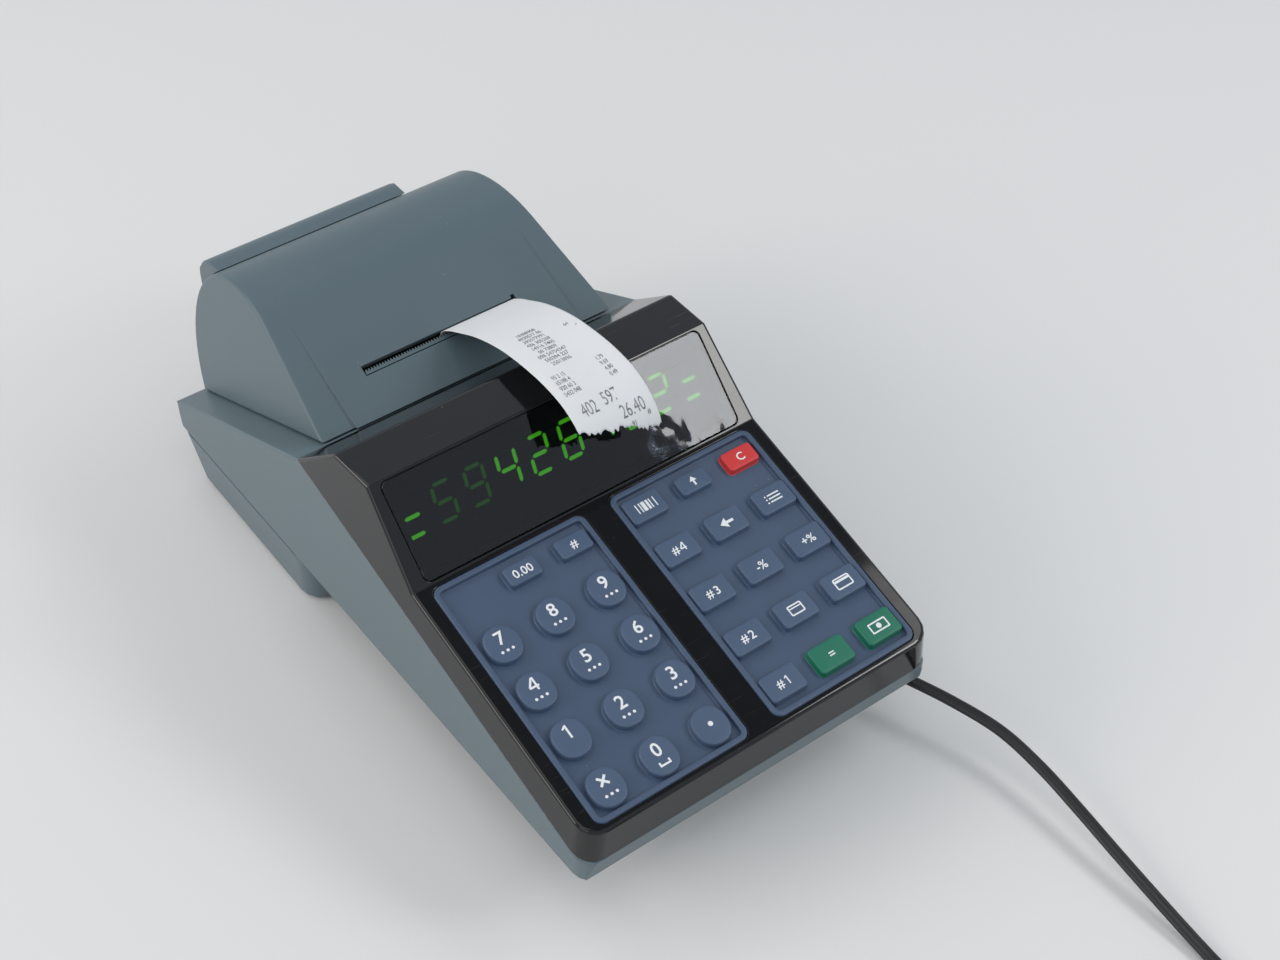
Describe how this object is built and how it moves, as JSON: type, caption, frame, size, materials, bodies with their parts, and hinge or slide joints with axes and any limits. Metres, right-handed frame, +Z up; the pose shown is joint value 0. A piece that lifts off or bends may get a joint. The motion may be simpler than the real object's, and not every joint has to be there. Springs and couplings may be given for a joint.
{
  "type": "ticket register",
  "caption": "Small desk ticket register: domed printer cover with paper slot and curled receipt, sloped digit display, two rubber keypads, flat supply lead.",
  "frame": {"origin": "on the table under the centre of the register's body, its lead left out", "axes": "+X to the operator's right, +Y from the keypads to the rear, +Z up"},
  "size_m": [0.1435, 0.4258, 0.1037],
  "materials": {
    "gloss_shell": "high gloss black",
    "window": "smoked, polished",
    "board": "green circuit board",
    "keypad": "matte silicone",
    "key": "matte silicone, printed symbols",
    "red_key": "matte silicone",
    "green_key": "matte silicone",
    "housing": "fine satin texture",
    "tray": "fine satin texture",
    "cover": "fine satin texture",
    "pad": "matte",
    "steel": "drawn",
    "heat_sink": "plain",
    "frame": "moulded, dark",
    "platen": "ground, matte",
    "gear": "moulded, off-white",
    "paper": "thermal or plain paper",
    "battery": "shrink film",
    "cord": "soft sheath",
    "supply": "fine texture"
  },
  "bodies": {
    "case": {"top_shell": "gloss_shell", "display_window": "window", "display_module": "board", "keypad_mat_left": "keypad", "keypad_mat_right": "keypad", "keyboard_board": "board", "housing": "housing", "base_tray": "tray", "rear_pad": "pad", "front_pad": "pad", "hinge_pin": "steel", "printer_frame": "frame", "feed_motor": "steel", "print_head": "heat_sink", "main_board": "board", "battery_pack": "battery", "supply_plug": "cord", "cord_lead": "cord", "cord_coil": "cord", "power_supply": "supply"},
    "cover": {"printer_cover": "cover", "tear_bar": "cover", "customer_pod": "cover", "customer_window": "window", "receipt_strip": "paper"},
    "platen": {"platen_roller": "platen", "platen_gear": "gear"},
    "pinion": {"motor_pinion": "gear"},
    "receipt_supply": {"receipt_roll": "paper"},
    "journal_supply": {"journal_roll": "paper"},
    "takeup": {"takeup_spool": "frame"},
    "key_price_body": {"key_price": "key"},
    "key_item_body": {"key_item": "key"},
    "key_7_body": {"key_7": "key"},
    "key_8_body": {"key_8": "key"},
    "key_9_body": {"key_9": "key"},
    "key_4_body": {"key_4": "key"},
    "key_5_body": {"key_5": "key"},
    "key_6_body": {"key_6": "key"},
    "key_1_body": {"key_1": "key"},
    "key_2_body": {"key_2": "key"},
    "key_3_body": {"key_3": "key"},
    "key_times_body": {"key_times": "key"},
    "key_0_body": {"key_0": "key"},
    "key_point_body": {"key_point": "key"},
    "key_code_body": {"key_code": "key"},
    "key_up_body": {"key_up": "key"},
    "key_clear_body": {"key_clear": "red_key"},
    "key_item_4_body": {"key_item_4": "key"},
    "key_correct_body": {"key_correct": "key"},
    "key_mode_body": {"key_mode": "key"},
    "key_item_3_body": {"key_item_3": "key"},
    "key_discount_body": {"key_discount": "key"},
    "key_surcharge_body": {"key_surcharge": "key"},
    "key_item_2_body": {"key_item_2": "key"},
    "key_returns_body": {"key_returns": "key"},
    "key_pay_body": {"key_pay": "key"},
    "key_item_1_body": {"key_item_1": "key"},
    "key_subtotal_body": {"key_subtotal": "green_key"},
    "key_cash_body": {"key_cash": "green_key"}
  },
  "joints": [
    {"name": "cover_hinge", "type": "hinge", "parent": "case", "child": "cover", "pos_m": [0, 0.1218, 0.03553], "axis": [-1, 0, 0], "range_deg": [0, 80]},
    {"name": "platen_spin", "type": "hinge", "parent": "case", "child": "platen", "pos_m": [0, 0.0525, 0.06623], "axis": [1, 0, 0], "continuous": true},
    {"name": "pinion_spin", "type": "hinge", "parent": "case", "child": "pinion", "pos_m": [0.03, 0.0468, 0.04498], "axis": [1, 0, 0], "continuous": true},
    {"name": "receipt_roll_spin", "type": "hinge", "parent": "case", "child": "receipt_supply", "pos_m": [0.0142, 0.084, 0.0307], "axis": [1, 0, 0], "continuous": true},
    {"name": "journal_roll_spin", "type": "hinge", "parent": "case", "child": "journal_supply", "pos_m": [-0.0168, 0.084, 0.0307], "axis": [1, 0, 0], "continuous": true},
    {"name": "takeup_spin", "type": "hinge", "parent": "case", "child": "takeup", "pos_m": [-0.017, 0.088, 0.0717], "axis": [1, 0, 0], "continuous": true},
    {"name": "key_price_press", "type": "slide", "parent": "case", "child": "key_price_body", "axis": [0, 0.2634, -0.9647], "range_m": [0, 0.0012], "stiffness_N_per_m": 400, "springref_m": -0.001},
    {"name": "key_item_press", "type": "slide", "parent": "case", "child": "key_item_body", "axis": [0, 0.2634, -0.9647], "range_m": [0, 0.0012], "stiffness_N_per_m": 400, "springref_m": -0.001},
    {"name": "key_7_press", "type": "slide", "parent": "case", "child": "key_7_body", "axis": [0, 0.2634, -0.9647], "range_m": [0, 0.0012], "stiffness_N_per_m": 400, "springref_m": -0.001},
    {"name": "key_8_press", "type": "slide", "parent": "case", "child": "key_8_body", "axis": [0, 0.2634, -0.9647], "range_m": [0, 0.0012], "stiffness_N_per_m": 400, "springref_m": -0.001},
    {"name": "key_9_press", "type": "slide", "parent": "case", "child": "key_9_body", "axis": [0, 0.2634, -0.9647], "range_m": [0, 0.0012], "stiffness_N_per_m": 400, "springref_m": -0.001},
    {"name": "key_4_press", "type": "slide", "parent": "case", "child": "key_4_body", "axis": [0, 0.2634, -0.9647], "range_m": [0, 0.0012], "stiffness_N_per_m": 400, "springref_m": -0.001},
    {"name": "key_5_press", "type": "slide", "parent": "case", "child": "key_5_body", "axis": [0, 0.2634, -0.9647], "range_m": [0, 0.0012], "stiffness_N_per_m": 400, "springref_m": -0.001},
    {"name": "key_6_press", "type": "slide", "parent": "case", "child": "key_6_body", "axis": [0, 0.2634, -0.9647], "range_m": [0, 0.0012], "stiffness_N_per_m": 400, "springref_m": -0.001},
    {"name": "key_1_press", "type": "slide", "parent": "case", "child": "key_1_body", "axis": [0, 0.2634, -0.9647], "range_m": [0, 0.0012], "stiffness_N_per_m": 400, "springref_m": -0.001},
    {"name": "key_2_press", "type": "slide", "parent": "case", "child": "key_2_body", "axis": [0, 0.2634, -0.9647], "range_m": [0, 0.0012], "stiffness_N_per_m": 400, "springref_m": -0.001},
    {"name": "key_3_press", "type": "slide", "parent": "case", "child": "key_3_body", "axis": [0, 0.2634, -0.9647], "range_m": [0, 0.0012], "stiffness_N_per_m": 400, "springref_m": -0.001},
    {"name": "key_times_press", "type": "slide", "parent": "case", "child": "key_times_body", "axis": [0, 0.2634, -0.9647], "range_m": [0, 0.0012], "stiffness_N_per_m": 400, "springref_m": -0.001},
    {"name": "key_0_press", "type": "slide", "parent": "case", "child": "key_0_body", "axis": [0, 0.2634, -0.9647], "range_m": [0, 0.0012], "stiffness_N_per_m": 400, "springref_m": -0.001},
    {"name": "key_point_press", "type": "slide", "parent": "case", "child": "key_point_body", "axis": [0, 0.2634, -0.9647], "range_m": [0, 0.0012], "stiffness_N_per_m": 400, "springref_m": -0.001},
    {"name": "key_code_press", "type": "slide", "parent": "case", "child": "key_code_body", "axis": [0, 0.2634, -0.9647], "range_m": [0, 0.0012], "stiffness_N_per_m": 400, "springref_m": -0.001},
    {"name": "key_up_press", "type": "slide", "parent": "case", "child": "key_up_body", "axis": [0, 0.2634, -0.9647], "range_m": [0, 0.0012], "stiffness_N_per_m": 400, "springref_m": -0.001},
    {"name": "key_clear_press", "type": "slide", "parent": "case", "child": "key_clear_body", "axis": [0, 0.2634, -0.9647], "range_m": [0, 0.0012], "stiffness_N_per_m": 400, "springref_m": -0.001},
    {"name": "key_item_4_press", "type": "slide", "parent": "case", "child": "key_item_4_body", "axis": [0, 0.2634, -0.9647], "range_m": [0, 0.0012], "stiffness_N_per_m": 400, "springref_m": -0.001},
    {"name": "key_correct_press", "type": "slide", "parent": "case", "child": "key_correct_body", "axis": [0, 0.2634, -0.9647], "range_m": [0, 0.0012], "stiffness_N_per_m": 400, "springref_m": -0.001},
    {"name": "key_mode_press", "type": "slide", "parent": "case", "child": "key_mode_body", "axis": [0, 0.2634, -0.9647], "range_m": [0, 0.0012], "stiffness_N_per_m": 400, "springref_m": -0.001},
    {"name": "key_item_3_press", "type": "slide", "parent": "case", "child": "key_item_3_body", "axis": [0, 0.2634, -0.9647], "range_m": [0, 0.0012], "stiffness_N_per_m": 400, "springref_m": -0.001},
    {"name": "key_discount_press", "type": "slide", "parent": "case", "child": "key_discount_body", "axis": [0, 0.2634, -0.9647], "range_m": [0, 0.0012], "stiffness_N_per_m": 400, "springref_m": -0.001},
    {"name": "key_surcharge_press", "type": "slide", "parent": "case", "child": "key_surcharge_body", "axis": [0, 0.2634, -0.9647], "range_m": [0, 0.0012], "stiffness_N_per_m": 400, "springref_m": -0.001},
    {"name": "key_item_2_press", "type": "slide", "parent": "case", "child": "key_item_2_body", "axis": [0, 0.2634, -0.9647], "range_m": [0, 0.0012], "stiffness_N_per_m": 400, "springref_m": -0.001},
    {"name": "key_returns_press", "type": "slide", "parent": "case", "child": "key_returns_body", "axis": [0, 0.2634, -0.9647], "range_m": [0, 0.0012], "stiffness_N_per_m": 400, "springref_m": -0.001},
    {"name": "key_pay_press", "type": "slide", "parent": "case", "child": "key_pay_body", "axis": [0, 0.2634, -0.9647], "range_m": [0, 0.0012], "stiffness_N_per_m": 400, "springref_m": -0.001},
    {"name": "key_item_1_press", "type": "slide", "parent": "case", "child": "key_item_1_body", "axis": [0, 0.2634, -0.9647], "range_m": [0, 0.0012], "stiffness_N_per_m": 400, "springref_m": -0.001},
    {"name": "key_subtotal_press", "type": "slide", "parent": "case", "child": "key_subtotal_body", "axis": [0, 0.2634, -0.9647], "range_m": [0, 0.0012], "stiffness_N_per_m": 400, "springref_m": -0.001},
    {"name": "key_cash_press", "type": "slide", "parent": "case", "child": "key_cash_body", "axis": [0, 0.2634, -0.9647], "range_m": [0, 0.0012], "stiffness_N_per_m": 400, "springref_m": -0.001}
  ],
  "couplings": [
    {"joint": "pinion_spin", "follows": "platen_spin", "ratio": -1.8571}
  ]
}
